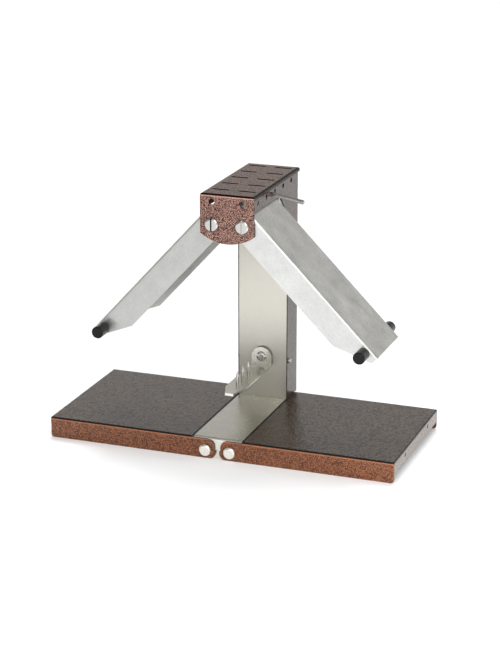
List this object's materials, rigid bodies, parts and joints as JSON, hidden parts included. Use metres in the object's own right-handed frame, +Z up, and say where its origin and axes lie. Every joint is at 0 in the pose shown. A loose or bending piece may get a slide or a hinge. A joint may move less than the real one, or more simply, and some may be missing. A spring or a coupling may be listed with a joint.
{
  "type": "raclette cheese melter",
  "caption": "Folding raclette melter: sloping heating arms hang from a column over a tilting spiked cheese holder and a base whose leaves fold down.",
  "frame": {"origin": "middle of the object's box in plan, on the surface it stands on", "axes": "+X to the right along the two leaves, +Y from the front plate of the head to the column, +Z up"},
  "size_m": [0.42, 0.2072, 0.303],
  "materials": {
    "hammered_paint": "copper-brown hammered enamel, glossy",
    "brushed_stainless": "brushed stainless sheet",
    "satin_stainless": "satin stainless sheet",
    "polished_steel": "bright domed bolt heads",
    "mirror_reflector": "bright reflector sheet",
    "heater_sheath": "oxidised heater tube sheath",
    "zinc_steel": "zinc-plated steel",
    "ceramic": "unglazed steatite ceramic",
    "black_plastic": "black heat-resistant plastic"
  },
  "bodies": {
    "stand": {"spine_tray": "brushed_stainless", "leaf_pivot_bolts": "polished_steel", "leaf_pivot_washers": "zinc_steel", "leaf_pivot_nuts": "zinc_steel", "column_shell": "hammered_paint", "column_front_plate": "brushed_stainless", "column_foot_screws": "zinc_steel", "column_foot_nuts": "zinc_steel", "front_plate_screws": "zinc_steel", "head_cover": "hammered_paint", "head_cover_screws": "zinc_steel", "head_cover_nuts": "zinc_steel", "head_bracket": "zinc_steel", "arm_pivot_bolts": "polished_steel", "arm_pivot_nuts": "zinc_steel", "arm_friction_washers": "zinc_steel", "holder_pivot_bolt": "polished_steel", "holder_friction_washer": "zinc_steel", "holder_pivot_nut": "zinc_steel", "cable_gland": "black_plastic", "gland_nut": "black_plastic", "terminal_strip": "ceramic", "terminal_strip_screw": "zinc_steel", "earth_screw": "zinc_steel", "earth_nut": "zinc_steel", "thermal_cutout": "black_plastic", "thermal_cutout_screw": "zinc_steel"},
    "left_leaf_panel": {"left_leaf": "hammered_paint"},
    "right_leaf_panel": {"right_leaf": "hammered_paint"},
    "left_heating_arm": {"left_arm_shell": "satin_stainless", "left_arm_pivot_sleeve": "zinc_steel", "left_reflector": "mirror_reflector", "left_heating_element": "heater_sheath", "left_element_supports": "zinc_steel", "left_terminal_block": "ceramic", "left_terminal_pins": "zinc_steel", "left_knob_rod": "zinc_steel", "left_arm_knobs": "black_plastic"},
    "right_heating_arm": {"right_arm_shell": "satin_stainless", "right_arm_pivot_sleeve": "zinc_steel", "right_reflector": "mirror_reflector", "right_heating_element": "heater_sheath", "right_element_supports": "zinc_steel", "right_terminal_block": "ceramic", "right_terminal_pins": "zinc_steel", "right_knob_rod": "zinc_steel", "right_arm_knobs": "black_plastic"},
    "rod": {"locking_rod": "brushed_stainless"},
    "cheese_holder": {"holder_tongue": "brushed_stainless", "holder_spikes": "polished_steel"}
  },
  "joints": [
    {"name": "right_leaf_fold", "type": "hinge", "parent": "stand", "child": "right_leaf_panel", "pos_m": [0.0148, 0, 0.0098], "axis": [0, 1, 0], "range_deg": [0, 90]},
    {"name": "left_leaf_fold", "type": "hinge", "parent": "stand", "child": "left_leaf_panel", "pos_m": [-0.0148, 0, 0.0098], "axis": [0, -1, 0], "range_deg": [0, 90]},
    {"name": "right_arm_swing", "type": "hinge", "parent": "stand", "child": "right_heating_arm", "pos_m": [0.0182, -0.0224, 0.2676], "axis": [0, -1, 0], "range_deg": [-44.4, 36.6]},
    {"name": "left_arm_swing", "type": "hinge", "parent": "stand", "child": "left_heating_arm", "pos_m": [-0.0182, -0.0224, 0.2676], "axis": [0, 1, 0], "range_deg": [-42, 39]},
    {"name": "locking_rod_slide", "type": "slide", "parent": "stand", "child": "rod", "axis": [1, 0, 0], "range_m": [0, 0.035]},
    {"name": "holder_tilt", "type": "hinge", "parent": "stand", "child": "cheese_holder", "pos_m": [0, 0.0486, 0.0775], "axis": [0, 1, 0], "range_deg": [-20, 20]}
  ]
}
